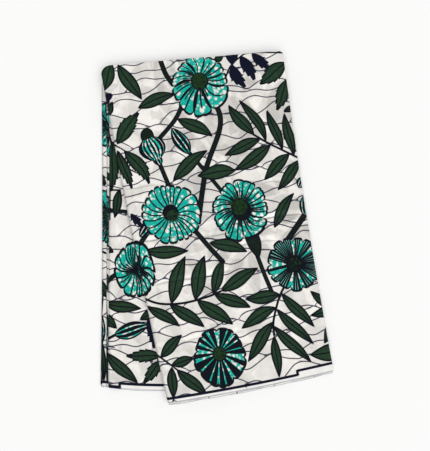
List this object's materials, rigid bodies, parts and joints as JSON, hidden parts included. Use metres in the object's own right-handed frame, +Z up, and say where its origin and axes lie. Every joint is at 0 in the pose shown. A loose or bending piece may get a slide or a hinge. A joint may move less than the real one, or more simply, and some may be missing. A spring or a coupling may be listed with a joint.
{
  "type": "folded length of ankara fabric",
  "caption": "Printed cotton dress fabric folded into a flat oblong, its upper folds fanned over the lower ones, woven edges at the front.",
  "frame": {"origin": "on the resting surface, under the middle of the folded cloth's box", "axes": "+Z up from the resting surface, +Y from the woven edges at the front to the fold at the back, +X to the right as seen from above with the front nearest"},
  "size_m": [0.399, 0.6138, 0.0185],
  "materials": {
    "printed_cotton": "plain-weave cotton with a light starch, printed in leaf green, teal and near-black navy on off-white",
    "woven_edge": "unprinted off-white woven edge of the same cotton, with a navy border line"
  },
  "bodies": {
    "root": {"top_panel": "printed_cotton", "front_layer_upper": "woven_edge", "front_layer_lower": "woven_edge", "hidden_layers": "printed_cotton", "under_panel": "printed_cotton", "left_fold_upper": "printed_cotton", "left_fold_lower": "printed_cotton"}
  },
  "joints": []
}
